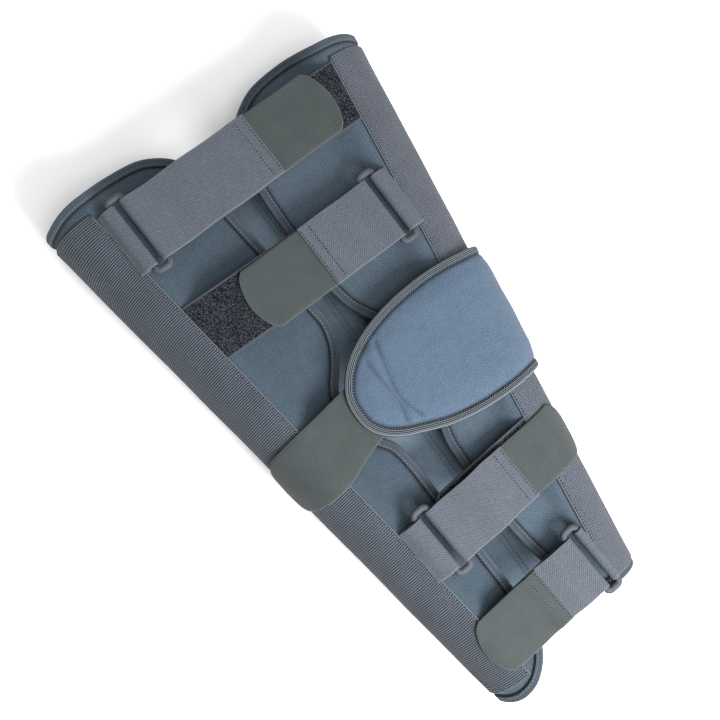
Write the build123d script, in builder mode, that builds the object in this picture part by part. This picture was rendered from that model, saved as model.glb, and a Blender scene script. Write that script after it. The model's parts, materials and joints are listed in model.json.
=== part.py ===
from build123d import *
import math
import os

os.makedirs("parts", exist_ok=True)

# Wrap-around knee immobiliser lying on its back: +Y from the calf end to the
# thigh end, +Z out of the front, +X to the right seen from the front.
# Plan stations "y" run from the calf hem (about 0) to the thigh hem (about 456)
# and Y_MID puts the origin under the middle of the whole brace.

# ---------------------------------------------------------------- dimensions
LENGTH = 456.0            # reference length of the tapered wrap
Y_MID = 226.5             # plan station under the origin
CALF_FLAT = 40.6          # half width of the flat front at the calf station 0
THIGH_FLAT = 102.2        # half width of the flat front at the thigh station
CALF_DEPTH = 54.0         # wrap thickness front to back at the calf
THIGH_DEPTH = 66.4        # wrap thickness front to back at the thigh
FOAM = 6.0                # foam laminate of the wrap
RIB = 2.0                 # ribbed side panel over the foam
BIND = 5.0                # width of the edge binding
TAPE = 1.8                # strap webbing
BASE_TOP = 1.8            # top of the sewn strap length, above the wrap
FREE_BOTTOM = 2.4         # underside of the returning strap length
FREE_TOP = 4.2            # top of the returning strap length
PAD_BOTTOM = 2.4          # underside of the knee pad
PAD_TOP = 9.4             # top of the knee pad
RING_PITCH = 11.0         # distance between the two bars of a ring
RING_LIFT = 4.6           # height of the ring bars above the wrap
BAR = 1.5                 # bar radius
BORE = 1.85               # inner radius of webbing round a bar
FOLD = 3.4                # outer radius of webbing round a bar
HINGE_GAP = 0.5           # split across the knee pad's fold line
STAY_T = 2.0              # aluminium stays
STAY_W = 18.0
BACK_STAY_W = 16.0

# strap: ring side, middle of the ring slot, tilt, width, seam and tip from the slot
STRAPS = {
    "upper_thigh": (+1, (-81.3, 411.0), 2.0, 50.0, 106.5, 166.0),
    "lower_thigh": (-1, (70.3, 330.0), 1.5, 48.0, 62.0, 120.0),
    "upper_calf": (+1, (-37.4, 121.3), 3.6, 44.0, 73.0, 129.5),
    "lower_calf": (-1, (39.8, 46.4), 4.3, 44.0, 36.0, 98.0),
}

TILT = math.degrees(math.atan((THIGH_DEPTH - CALF_DEPTH) / LENGTH))


def half_flat(y):
    return CALF_FLAT + (THIGH_FLAT - CALF_FLAT) * y / LENGTH


def depth(y):
    return CALF_DEPTH + (THIGH_DEPTH - CALF_DEPTH) * y / LENGTH


def P(x, y):
    """plan station to model coordinates"""
    return (x, y - Y_MID)


def section_plane(y):
    return Plane(origin=(0, y - Y_MID, 0), x_dir=(1, 0, 0), z_dir=(0, -1, 0))


_skins = {}


def skin(grow, y0=-40.0, y1=LENGTH + 40.0):
    """solid tapered stadium, its face lying 'grow' outside the wrap's face"""
    key = (grow, y0, y1)
    if key not in _skins:
        with BuildPart() as body:
            for y in (y0, y1):
                with BuildSketch(section_plane(y)):
                    with Locations((0, depth(y) / 2)):
                        SlotOverall(2 * half_flat(y) + depth(y) + 2 * grow, depth(y) + 2 * grow)
            loft(ruled=True)
        _skins[key] = body.part
    return _skins[key]


def layer(inner, outer):
    """tube between two skins"""
    with BuildPart() as body:
        add(skin(outer))
        add(skin(inner), mode=Mode.SUBTRACT)
    return body.part


def plan_block(points, z0, z1):
    """straight-sided block standing on a plan polygon"""
    with BuildPart() as body:
        with BuildSketch(Plane.XY.offset(z0)):
            with BuildLine():
                Polyline(*[P(*q) for q in points], close=True)
            make_face()
        extrude(amount=z1 - z0)
    return body.part


def inset_edge(edge, inset):
    """the same edge moved sideways into the piece, to the right of its run"""
    moved = []
    for i, (x, y) in enumerate(edge):
        ax, ay = edge[max(i - 1, 0)]
        bx, by = edge[min(i + 1, len(edge) - 1)]
        run = math.hypot(bx - ax, by - ay)
        moved.append((x + inset * (by - ay) / run, y - inset * (bx - ax) / run))
    return moved


def wing_block(edge, outer, inset, z0, z1):
    """block standing on a plan outline: a smooth edge closed by straight runs"""
    side = 1 if sum((b[0] - a[0]) * (b[1] + a[1]) for a, b in zip(edge + outer, (edge + outer)[1:] + edge[:1])) > 0 else -1
    line = inset_edge(edge, inset * side) if inset else edge
    ends = [(outer[0][0], line[-1][1]), (outer[1][0], line[0][1])] if inset else outer
    with BuildPart() as body:
        with BuildSketch(Plane.XY.offset(z0)):
            with BuildLine():
                Spline(*[P(*q) for q in line])
                Polyline(*[P(*q) for q in [line[-1]] + ends + [line[0]]])
            make_face()
        extrude(amount=z1 - z0)
    return body.part


def save(part, label):
    part.label = label
    export_step(part, f"parts/{label}.step")


# ------------------------------------------------------------------- outlines
BACK_IN = 4.0             # the back panel's side seams lie this far inside the flat

# free edge of each wing, from its outer top corner round to its outer bottom corner
LEFT_EDGE = [(-128, 451.6), (-100, 455.2), (-76, 455.8), (-48, 451.5), (-31, 439), (-24, 418),
             (-21.5, 389), (-18.2, 360), (-12.9, 306), (-11.6, 288), (-15.5, 273), (-24, 259),
             (-34, 246), (-39, 226), (-33, 207), (-24, 193), (-20.6, 174), (-19.8, 153),
             (-17.6, 95), (-16.8, 60), (-19.5, 30), (-28, 12.5), (-40, 2), (-55, -2.8), (-66, -1.6)]
LEFT_OUTER = [(-150, -1.0), (-150, 451.6)]
RIGHT_EDGE = [(128, 450.4), (104, 453.4), (66, 455.8), (36, 450.4), (19, 439), (7, 418),
              (3.1, 389), (2.0, 360), (3.9, 303), (7.2, 288), (13, 276), (22, 262),
              (29, 244), (30, 226), (24, 206), (12, 189), (7, 174), (5.8, 157),
              (7.2, 100), (11, 72), (19, 42), (30, 25.5), (42, 20.5), (56, 19.0), (66, 18.0)]
RIGHT_OUTER = [(150, 17.0), (150, 450.4)]
BACK_LOW, BACK_HIGH = 5.0, 450.0
LEFT_RIB = [(-150, 444), (-half_flat(441), 441), (-half_flat(9), 9), (-150, 3)]
RIGHT_RIB = [(150, 444), (half_flat(441), 441), (half_flat(24), 24), (150, 20)]

PAD_EDGE = [(90, 273.6), (77, 275.6), (49, 276.2), (18, 272), (0.7, 266.8), (-14.7, 259), (-27, 248),
            (-33.5, 237), (-35.3, 225), (-33.8, 213), (-28, 203.5), (-18, 195.2), (-2.5, 188),
            (14.6, 181.2), (38, 176), (62, 174.2), (84, 174.6)]
PAD_OUTER = [(150, 173.5), (150, 271.0)]
PAD_TAB = [(-26, 244.5), (-60, 240), (-90, 236), (-104, 231), (-112, 214), (-108, 192),
           (-96, 186.2), (-80, 186.6), (-64, 189), (-44, 196.8), (-24, 203)]

# ----------------------------------------------------------------- stay shapes


def stay(side):
    with BuildPart() as bar:
        for y in (26.0, 430.0):
            with BuildSketch(section_plane(y)):
                with Locations((side * (half_flat(y) + depth(y) / 2 - 3.9), depth(y) / 2)):
                    Rectangle(STAY_T, STAY_W)
        loft(ruled=True)
    return bar.part


left_bar, right_bar = stay(-1), stay(+1)
wrap = layer(-FOAM, 0)
rib_layer = layer(0, RIB)
free_layer = layer(FREE_BOTTOM, FREE_TOP)
pad_layer = layer(PAD_BOTTOM, PAD_TOP)
pad_root_layer = layer(RIB, PAD_TOP)


def seam_half(y):
    return half_flat(y) - BACK_IN


back_plan = [(-seam_half(-30), -30), (seam_half(-30), -30), (seam_half(486), 486), (-seam_half(486), 486)]
back_field = plan_block(back_plan, -2, 18)
back_slab = plan_block(back_plan, 0, FOAM)      # the flat at the back, which the brace lies on

# ------------------------------------------------------------------ back panel
with BuildPart() as back_panel:
    add(back_slab)
    add(plan_block([(-150, BACK_LOW + BIND), (150, BACK_LOW + BIND + 8),
                    (150, BACK_HIGH - BIND), (-150, BACK_HIGH - BIND)], -5, 30), mode=Mode.INTERSECT)
save(back_panel.part, "back_panel")

with BuildPart() as back_bottom_binding:
    add(back_slab)
    add(plan_block([(-150, BACK_LOW), (150, BACK_LOW + 8),
                    (150, BACK_LOW + BIND + 8), (-150, BACK_LOW + BIND)], -5, 30), mode=Mode.INTERSECT)
save(back_bottom_binding.part, "back_bottom_binding")

with BuildPart() as back_top_binding:
    add(back_slab)
    add(plan_block([(-150, BACK_HIGH - BIND), (150, BACK_HIGH - BIND),
                    (150, BACK_HIGH), (-150, BACK_HIGH)], -5, 30), mode=Mode.INTERSECT)
save(back_top_binding.part, "back_top_binding")

# -------------------------------------------------------------- posterior stays
with BuildPart() as posterior_stay_right:
    with BuildSketch(Plane.XY.offset(FOAM)):
        with Locations(P(14, 227.5)):
            RectangleRounded(BACK_STAY_W, 395, 7.5)
    extrude(amount=STAY_T)
save(posterior_stay_right.part, "posterior_stay_right")

with BuildPart() as posterior_stay_left:
    with BuildSketch(Plane.XY.offset(FOAM)):
        with Locations(P(-30, 227.5)):
            RectangleRounded(BACK_STAY_W, 395, 7.5)
    extrude(amount=STAY_T)
save(posterior_stay_left.part, "posterior_stay_left")

with BuildPart() as posterior_pocket:
    with BuildSketch(Plane.XY.offset(FOAM)):
        with Locations(P(-8, 227.5)):
            RectangleRounded(68, 411, 4)
    extrude(amount=3.2)
    add(posterior_stay_right.part, mode=Mode.SUBTRACT)
    add(posterior_stay_left.part, mode=Mode.SUBTRACT)
save(posterior_pocket.part, "posterior_pocket")

# ------------------------------------------------------------------ side wings
with BuildPart() as left_wing:
    add(wrap)
    add(wing_block(LEFT_EDGE, LEFT_OUTER, BIND, -5, 90), mode=Mode.INTERSECT)
    add(back_field, mode=Mode.SUBTRACT)
    add(left_bar, mode=Mode.SUBTRACT)
save(left_wing.part, "left_wing")

with BuildPart() as left_wing_binding:
    add(wrap)
    add(wing_block(LEFT_EDGE, LEFT_OUTER, 0, -5, 90), mode=Mode.INTERSECT)
    add(wing_block(LEFT_EDGE, LEFT_OUTER, BIND, -6, 91), mode=Mode.SUBTRACT)
    add(back_field, mode=Mode.SUBTRACT)
save(left_wing_binding.part, "left_wing_binding")

with BuildPart() as right_wing:
    add(wrap)
    add(wing_block(RIGHT_EDGE, RIGHT_OUTER, BIND, -5, 90), mode=Mode.INTERSECT)
    add(back_field, mode=Mode.SUBTRACT)
    add(right_bar, mode=Mode.SUBTRACT)
save(right_wing.part, "right_wing")

with BuildPart() as right_wing_binding:
    add(wrap)
    add(wing_block(RIGHT_EDGE, RIGHT_OUTER, 0, -5, 90), mode=Mode.INTERSECT)
    add(wing_block(RIGHT_EDGE, RIGHT_OUTER, BIND, -6, 91), mode=Mode.SUBTRACT)
    add(back_field, mode=Mode.SUBTRACT)
save(right_wing_binding.part, "right_wing_binding")

with BuildPart() as left_stay:
    add(left_bar)
save(left_stay.part, "left_stay")

with BuildPart() as right_stay:
    add(right_bar)
save(right_stay.part, "right_stay")

# ---------------------------------------------------------- ribbed side panels
with BuildPart() as left_side_panel:
    add(rib_layer)
    add(plan_block(LEFT_RIB, 2.0, 90), mode=Mode.INTERSECT)
save(left_side_panel.part, "left_side_panel")

with BuildPart() as right_side_panel:
    add(rib_layer)
    add(plan_block(RIGHT_RIB, 2.0, 90), mode=Mode.INTERSECT)
save(right_side_panel.part, "right_side_panel")

# -------------------------------------------------------------------- knee pad
# the pad folds back about a line on its outer face, where the front turns into
# the brace's right side
def pad_line(y, shift):
    return half_flat(y) + shift


pad_free = plan_block([(-150, 120), (pad_line(120, -HINGE_GAP / 2), 120),
                       (pad_line(330, -HINGE_GAP / 2), 330), (-150, 330)], 30, 95)
pad_fixed = plan_block([(150, 120), (pad_line(120, HINGE_GAP / 2), 120),
                        (pad_line(330, HINGE_GAP / 2), 330), (150, 330)], 10, 95)

with BuildPart() as knee_pad:
    add(pad_layer)
    add(wing_block(PAD_EDGE, PAD_OUTER, BIND, 20, 95), mode=Mode.INTERSECT)
    add(pad_free, mode=Mode.INTERSECT)
save(knee_pad.part, "knee_pad")

with BuildPart() as knee_pad_binding:
    add(pad_layer)
    add(wing_block(PAD_EDGE, PAD_OUTER, 0, 20, 95), mode=Mode.INTERSECT)
    add(wing_block(PAD_EDGE, PAD_OUTER, BIND, 19, 96), mode=Mode.SUBTRACT)
    add(pad_free, mode=Mode.INTERSECT)
save(knee_pad_binding.part, "knee_pad_binding")

with BuildPart() as knee_pad_root:
    add(pad_root_layer)
    add(wing_block(PAD_EDGE, PAD_OUTER, BIND, 5, 95), mode=Mode.INTERSECT)
    add(pad_fixed, mode=Mode.INTERSECT)
save(knee_pad_root.part, "knee_pad_root")

with BuildPart() as knee_pad_root_binding:
    add(pad_root_layer)
    add(wing_block(PAD_EDGE, PAD_OUTER, 0, 5, 95), mode=Mode.INTERSECT)
    add(wing_block(PAD_EDGE, PAD_OUTER, BIND, 4, 96), mode=Mode.SUBTRACT)
    add(pad_fixed, mode=Mode.INTERSECT)
save(knee_pad_root_binding.part, "knee_pad_root_binding")

with BuildPart() as knee_pad_tab:
    add(free_layer)
    with BuildSketch(Plane.XY.offset(36)):
        with BuildLine():
            Spline(*[P(*q) for q in PAD_TAB])
            Line(P(*PAD_TAB[-1]), P(*PAD_TAB[0]))
        make_face()
    extrude(amount=60, mode=Mode.INTERSECT)
    add(wing_block(PAD_EDGE, PAD_OUTER, 0, 5, 95), mode=Mode.SUBTRACT)
save(knee_pad_tab.part, "knee_pad_tab")

# ---------------------------------------------------------------------- straps
def strap_frame(toward, slot, tilt):
    """unit vectors of a strap lying in the front face: along, across, out"""
    a, t = math.radians(tilt), math.radians(TILT)
    u = Vector(1, 0, 0)
    v = Vector(0, math.cos(t), math.sin(t))
    n = Vector(0, -math.sin(t), math.cos(t))
    along = (u * math.cos(a) + v * math.sin(a)) * toward
    across = v * math.cos(a) - u * math.sin(a)
    return along, across, n


def plan_at(toward, slot, tilt, s, b):
    a = math.radians(tilt)
    return (slot[0] + toward * s * math.cos(a) - b * math.sin(a),
            slot[1] + toward * s * math.sin(a) + b * math.cos(a))


# sewn strap length: plan corners between the ring and the opposite side panel
BASES = {
    "upper_thigh": [(-71, 436.6), (-71, 387.4), (half_flat(391), 391), (half_flat(437.5), 437.5)],
    "lower_thigh": [(60, 353), (60, 305.8), (-half_flat(306.6), 306.6), (-half_flat(353.4), 353.4)],
    "upper_calf": [(-27, 144.8), (-27, 99.6), (half_flat(104.5), 104.5), (half_flat(149.5), 149.5)],
    "lower_calf": [(29.6, 67.4), (29.6, 23.6), (-half_flat(17.6), 17.6), (-half_flat(61.4), 61.4)],
}

for name, (toward, slot, tilt, width, seam, tip) in STRAPS.items():
    along, across, out = strap_frame(toward, slot, tilt)
    half = width / 2
    centre = Vector(slot[0], slot[1] - Y_MID, depth(slot[1])) + out * RING_LIFT
    inner = centre + along * (RING_PITCH / 2)
    outer = centre - along * (RING_PITCH / 2)
    profile = Plane(origin=tuple(inner), x_dir=tuple(along), z_dir=tuple(along.cross(out)))
    anchor_profile = Plane(origin=tuple(outer), x_dir=tuple(along), z_dir=tuple(along.cross(out)))
    end_low = Plane(origin=tuple(centre - across * (half + 5.3)), x_dir=tuple(along), z_dir=tuple(across))
    end_high = Plane(origin=tuple(centre + across * (half + 0.8)), x_dir=tuple(along), z_dir=tuple(across))
    bar_in = Plane(origin=tuple(inner - across * (half + 3)), x_dir=tuple(along), z_dir=tuple(across))
    bar_out = Plane(origin=tuple(outer - across * (half + 3)), x_dir=tuple(along), z_dir=tuple(across))

    # double-bar ring: two round bars between two slot-shaped end pieces
    with BuildPart() as ring:
        with BuildSketch(end_low):
            SlotCenterToCenter(RING_PITCH, 4.4)
        extrude(amount=4.5)
        with BuildSketch(end_high):
            SlotCenterToCenter(RING_PITCH, 4.4)
        extrude(amount=4.5)
        with BuildSketch(bar_in):
            Circle(BAR)
        extrude(amount=2 * half + 6)
        with BuildSketch(bar_out):
            Circle(BAR)
        extrude(amount=2 * half + 6)
    save(ring.part, f"{name}_ring")

    # short webbing loop round the ring's outer bar, sewn in at the side panel's edge
    low = -RING_LIFT
    rib_x = half_flat(slot[1])
    reach = abs(abs(slot[0]) - rib_x) - RING_PITCH / 2 + 8
    with BuildPart() as anchor:
        with BuildSketch(anchor_profile):
            Circle(FOLD)
            with BuildLine():
                Polyline((0, -FOLD), (-reach, low), (-reach, low + TAPE), (-4.5, low + TAPE + 0.6), (-2.4, 2.4), (0, 0), close=True)
            make_face()
            Circle(BORE, mode=Mode.SUBTRACT)
        extrude(amount=half, both=True)
        sx = -toward
        add(plan_block([(sx * 0, slot[1] - 60), (sx * half_flat(slot[1] - 60), slot[1] - 60),
                        (sx * half_flat(slot[1] + 60), slot[1] + 60), (sx * 0, slot[1] + 60)], 20, 95),
            mode=Mode.INTERSECT)
        add(skin(0), mode=Mode.SUBTRACT)
    save(anchor.part, f"{name}_anchor")

    # sewn length of the strap, lying on the wrap
    with BuildPart() as base:
        add(layer(0, BASE_TOP))
        with BuildSketch(Plane.XY.offset(36)):
            with BuildLine():
                Polyline(*[P(*q) for q in BASES[name]], close=True)
            make_face()
        extrude(amount=60, mode=Mode.INTERSECT)
    save(base.part, f"{name}_base")

    # returning length: folds over the ring's inner bar and runs back over the base
    start = RING_PITCH / 2 + 13.0
    with BuildPart() as webbing:
        add(free_layer)
        with BuildSketch(Plane.XY.offset(36)):
            with BuildLine():
                Polyline(*[P(*plan_at(toward, slot, tilt, s, b)) for s, b in
                           ((start, -half), (seam, -half), (seam, half), (start, half))], close=True)
            make_face()
        extrude(amount=60, mode=Mode.INTERSECT)
        t0, t1 = FREE_BOTTOM - RING_LIFT, FREE_TOP - RING_LIFT
        with BuildSketch(profile):
            with BuildLine():
                Polyline((0, FOLD), (2.5, FOLD - 0.2), (13.2, t1), (13.2, t0), (2.2, BORE - 0.15), (0, BORE))
                RadiusArc((0, BORE), (-BORE, 0), -BORE)
                Line((-BORE, 0), (-FOLD, 0))
                RadiusArc((-FOLD, 0), (0, FOLD), FOLD)
            make_face()
        extrude(amount=half, both=True)
    save(webbing.part, f"{name}_webbing")

    # hook tab closing the strap, its end cut to a shallow bow
    with BuildPart() as tab:
        add(free_layer)
        with BuildSketch(Plane.XY.offset(30)) as tab_plan:
            with BuildLine():
                c1 = P(*plan_at(toward, slot, tilt, tip - 7, half))
                c2 = P(*plan_at(toward, slot, tilt, tip, 0))
                c3 = P(*plan_at(toward, slot, tilt, tip - 7, -half))
                a1 = P(*plan_at(toward, slot, tilt, seam, half))
                a3 = P(*plan_at(toward, slot, tilt, seam, -half))
                ThreePointArc(c1, c2, c3)
                Polyline(c3, a3, a1, c1)
            make_face()
            ends = [v for v in tab_plan.vertices()
                    if (Vector(v.X, v.Y) - Vector(*c1)).length < 0.01 or (Vector(v.X, v.Y) - Vector(*c3)).length < 0.01]
            fillet(ends, radius=6)
        extrude(amount=66, mode=Mode.INTERSECT)
    save(tab.part, f"{name}_tab")
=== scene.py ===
"""Looks of the wrap-around knee brace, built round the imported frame. Lengths inside the helpers are in mm."""

import json
import math

import bpy
import numpy as np
from mathutils import Matrix, Vector
from mathutils.geometry import delaunay_2d_cdt


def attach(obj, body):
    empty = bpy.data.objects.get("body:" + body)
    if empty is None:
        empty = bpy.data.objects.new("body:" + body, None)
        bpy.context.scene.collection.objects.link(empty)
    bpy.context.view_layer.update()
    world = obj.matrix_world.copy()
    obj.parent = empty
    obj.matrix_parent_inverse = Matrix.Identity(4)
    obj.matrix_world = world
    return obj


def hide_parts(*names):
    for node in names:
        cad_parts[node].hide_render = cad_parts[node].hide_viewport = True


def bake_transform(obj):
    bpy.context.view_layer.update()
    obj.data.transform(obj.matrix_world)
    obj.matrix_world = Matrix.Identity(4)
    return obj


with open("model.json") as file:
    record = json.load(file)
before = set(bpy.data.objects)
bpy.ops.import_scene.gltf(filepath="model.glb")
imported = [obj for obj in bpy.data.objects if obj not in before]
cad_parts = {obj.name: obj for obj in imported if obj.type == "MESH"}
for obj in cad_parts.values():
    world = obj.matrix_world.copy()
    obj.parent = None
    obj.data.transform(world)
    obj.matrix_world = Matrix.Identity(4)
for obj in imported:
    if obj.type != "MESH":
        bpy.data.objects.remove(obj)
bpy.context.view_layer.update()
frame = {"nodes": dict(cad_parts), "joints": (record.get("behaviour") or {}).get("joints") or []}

# ------------------------------------------------------------------ the frame's shape
Y_MID = 226.5
LENGTH = 456.0
FOAM = 6.0
PITCH = 11.0          # between a ring's two bars
LIFT = 4.6            # height of the ring bars over the wrap
TILT = math.atan(12.4 / LENGTH)


def half_flat(y):
    return 40.6 + 61.6 * np.asarray(y, float) / LENGTH


def depth(y):
    return 54.0 + 12.4 * np.asarray(y, float) / LENGTH


def surf(s, y, r):
    """point r mm over the wrap's face, s mm round it from the front middle, at station y"""
    s, y, r = np.broadcast_arrays(np.asarray(s, float), np.asarray(y, float), np.asarray(r, float))
    w, R, a = half_flat(y), depth(y) / 2, np.abs(s)
    th = np.clip((a - w) / R, 0, np.pi)
    over = np.maximum(0, a - w - np.pi * R)
    x = np.sign(s) * (np.minimum(a, w) + (R + r) * np.sin(th) - over)
    return np.stack([x, y - Y_MID, R + (R + r) * np.cos(th)], -1)


def to_s(x, y):
    """arc length round the wrap of a plan position"""
    w, R = float(half_flat(y)), float(depth(y)) / 2
    a = abs(x)
    if a <= w:
        return x
    return math.copysign(w + R * math.asin(min(1.0, (a - w) / R)), x)


def rear(y):
    """arc length of the back seam"""
    return half_flat(y) + np.pi * depth(y) / 2 + 4.0


def step01(t):
    t = np.clip(t, 0, 1)
    return t * t * (3 - 2 * t)


def ripple(a, b, seed, scale):
    """smooth deterministic unevenness, about -1..1"""
    a, b = np.asarray(a, float), np.asarray(b, float)
    rng = np.random.RandomState(seed)
    out = np.zeros(np.broadcast(a, b).shape)
    for _ in range(6):
        ang, k, ph = rng.uniform(0, 2 * np.pi), rng.uniform(0.6, 1.7) / scale, rng.uniform(0, 2 * np.pi)
        out = out + np.sin(2 * np.pi * k * (a * math.cos(ang) + b * math.sin(ang)) + ph)
    return out / 3.2




def sag(s, y):
    """how far the felt wings hang below the straight front face between the side panels"""
    w = half_flat(y)
    t = np.clip((w - np.abs(s)) / w, 0, 1)
    low = 5.0 + 0.115 * w
    low = low + 7.0 * step01((y - 428.0) / 22.0)
    return -low * (0.88 * step01(t / 0.34) + 0.12 * step01(t / 0.8)) + 0.6 * ripple(s, y, 4, 70.0) * step01(t * 3)


# ------------------------------------------------------------------ mesh helpers
def catmull(points, step):
    """smooth run through the points, one point every step mm"""
    p = np.array(points, float)
    p = np.vstack([2 * p[0] - p[1], p, 2 * p[-1] - p[-2]])
    out = []
    for i in range(1, len(p) - 2):
        p0, p1, p2, p3 = p[i - 1:i + 3]
        n = max(2, int(np.linalg.norm(p2 - p1) / step * 4))
        t = np.linspace(0, 1, n, endpoint=False)[:, None]
        d1, d2 = np.linalg.norm(p1 - p0) + 1e-9, np.linalg.norm(p2 - p1) + 1e-9
        d3 = np.linalg.norm(p3 - p2) + 1e-9
        m1 = (p1 - p0) / d1 + (p2 - p1) / d2 - (p2 - p0) / (d1 + d2)
        m2 = (p2 - p1) / d2 + (p3 - p2) / d3 - (p3 - p1) / (d2 + d3)
        m1, m2 = m1 * d2, m2 * d2
        out.append((2 * t**3 - 3 * t**2 + 1) * p1 + (t**3 - 2 * t**2 + t) * m1
                   + (-2 * t**3 + 3 * t**2) * p2 + (t**3 - t**2) * m2)
    out.append(p[-2][None])
    return resample(np.vstack(out), step)


def resample(p, step):
    p = np.array(p, float)
    d = np.r_[0, np.cumsum(np.linalg.norm(np.diff(p, axis=0), axis=1))]
    n = max(1, int(round(d[-1] / step)))
    q = np.linspace(0, d[-1], n + 1)
    return np.stack([np.interp(q, d, p[:, i]) for i in range(p.shape[1])], -1)


def area2(loop):
    x, y = loop[:, 0], loop[:, 1]
    return 0.5 * np.sum(x * np.roll(y, -1) - np.roll(x, -1) * y)


def inset(loop, d):
    """loop moved inwards by d, mitred"""
    p = np.array(loop, float)
    sgn = 1.0 if area2(p) > 0 else -1.0
    e = np.roll(p, -1, 0) - p
    e /= np.linalg.norm(e, axis=1)[:, None] + 1e-12
    n = np.stack([-e[:, 1], e[:, 0]], -1) * sgn
    prev = np.roll(n, 1, 0)
    m = n + prev
    m /= np.maximum(np.sum(m * n, axis=1)[:, None], 0.35)
    return p + m * d


def inside(loop, q):
    x, y = q[:, 0], q[:, 1]
    hit = np.zeros(len(q), bool)
    a, b = loop, np.roll(loop, -1, 0)
    for (x1, y1), (x2, y2) in zip(a, b):
        if y1 == y2:
            continue
        c = ((y1 > y) != (y2 > y)) & (x < (x2 - x1) * (y - y1) / (y2 - y1) + x1)
        hit ^= c
    return hit


def edge_distance(line, q, closed=True):
    """distance of each point from a polyline, and how far along it the nearest place is"""
    a = line if closed else line[:-1]
    b = np.roll(line, -1, 0) if closed else line[1:]
    best = np.full(len(q), 1e9)
    for p1, p2 in zip(a, b):
        d = p2 - p1
        t = np.clip(((q - p1) @ d) / (d @ d + 1e-12), 0, 1)
        best = np.minimum(best, np.linalg.norm(q - (p1 + t[:, None] * d), axis=1))
    return best


def make(name, verts, faces, uv=None, rim=None, mats=(), mat_index=None, smooth=True, painted_shade_uv=None):
    """mesh object from mm coordinates, with cloth coordinates in mm as one UV map, and edge distance and painted shade
    as the other
    """
    me = bpy.data.meshes.new(name)
    me.from_pydata((np.asarray(verts, float) * 0.001).tolist(), [], [list(map(int, f)) for f in faces])
    for m in mats:
        me.materials.append(m)
    if mat_index is not None:
        me.polygons.foreach_set("material_index", np.asarray(mat_index, np.int32))
    me.polygons.foreach_set("use_smooth", np.full(len(me.polygons), smooth))
    loops = np.zeros(len(me.loops), np.int32)
    me.loops.foreach_get("vertex_index", loops)
    if uv is not None:
        layer = me.uv_layers.new(name="cloth")
        layer.data.foreach_set("uv", np.asarray(uv, np.float32)[loops].ravel())
        r = np.zeros((len(verts), 2), np.float32)
        if rim is not None:
            r[:, 0] = rim
        if painted_shade_uv is not None:
            r[:, 1] = painted_shade_uv
        layer = me.uv_layers.new(name="rim")
        layer.data.foreach_set("uv", r[loops].ravel())
    me.validate()
    me.update()
    ob = bpy.data.objects.new(name, me)
    bpy.context.scene.collection.objects.link(ob)
    return ob


def fix_normals(ob):
    import bmesh
    bm = bmesh.new()
    bm.from_mesh(ob.data)
    bmesh.ops.recalc_face_normals(bm, faces=bm.faces)
    bm.to_mesh(ob.data)
    bm.free()
    return ob


def triangulate(loop, spacing, rings, extra=()):
    """points and triangles filling a closed loop, with finer rings along its edge"""
    loop = np.array(loop, float)
    pts, edges = [], []

    def put(ring, closed=True):
        k = len(pts)
        pts.extend(ring.tolist())
        n = len(ring)
        edges.extend((k + i, k + (i + 1) % n) for i in range(n if closed else n - 1))

    put(loop)
    for d in rings:
        put(inset(loop, d))
    for line in extra:
        put(np.asarray(line, float), closed=False)
    lo, hi = loop.min(0), loop.max(0)
    gx = np.arange(lo[0] + spacing * 0.37, hi[0], spacing)
    gy = np.arange(lo[1] + spacing * 0.41, hi[1], spacing)
    g = np.stack(np.meshgrid(gx, gy), -1)
    g[1::2, :, 0] += spacing * 0.5
    g = g.reshape(-1, 2)
    g = g[inside(loop, g)]
    g = g[edge_distance(loop, g) > (max(rings) if rings else 0) + spacing * 0.55]
    for line in extra:
        g = g[edge_distance(np.asarray(line, float), g, closed=False) > 1.2]
    pts.extend(g.tolist())
    vs, _, fs, ov, _, _ = delaunay_2d_cdt([Vector(p) for p in pts], edges, [], 1, 1e-4)
    v = np.array([(p.x, p.y) for p in vs])
    f = np.array([list(t) for t in fs])
    cen = v[f].mean(1)
    f = f[inside(loop, cen)]
    used = np.unique(f)
    back = -np.ones(len(v), int)
    back[used] = np.arange(len(used))
    return v[used], back[f]


def closed_sheet(name, loop, spacing, top, bottom, rings, mats, mat_side=None, to_uv=None, extra=(), painted_shade=None):
    """solid sheet over a loop: top(a, b, d) and bottom(a, b, d) give 3-D points, d is the edge distance; the optional
    last function gives the painted shade that the felt darkens by
    """
    v, f = triangulate(loop, spacing, rings, extra)
    d = edge_distance(np.array(loop, float), v)
    a, b = v[:, 0], v[:, 1]
    n = len(v)
    e = np.sort(np.vstack([f[:, [0, 1]], f[:, [1, 2]], f[:, [2, 0]]]), axis=1)
    uniq, count = np.unique(e, axis=0, return_counts=True)
    rim_set = {tuple(x) for x in uniq[count == 1]}
    sides = []
    for t in f:
        for i in range(3):
            p, q = int(t[i]), int(t[(i + 1) % 3])
            if (min(p, q), max(p, q)) in rim_set:
                sides.append((q, p, p + n, q + n))
    verts = np.vstack([top(a, b, d), bottom(a, b, d)])
    faces = [tuple(t) for t in f] + [(t[0] + n, t[2] + n, t[1] + n) for t in f] + sides
    uv = np.vstack([v, v]) if to_uv is None else np.vstack([to_uv(a, b), to_uv(a, b)])
    idx = None
    if mat_side is not None:
        idx = [0] * len(f) + [mat_side] * (len(f) + len(sides))
    painted_shade_uv = None
    if painted_shade is not None:
        k = painted_shade(a, b, d)
        painted_shade_uv = np.r_[k, k]
    return fix_normals(make(name, verts, faces, uv, np.r_[d, d], mats, idx, painted_shade_uv=painted_shade_uv))


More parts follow.
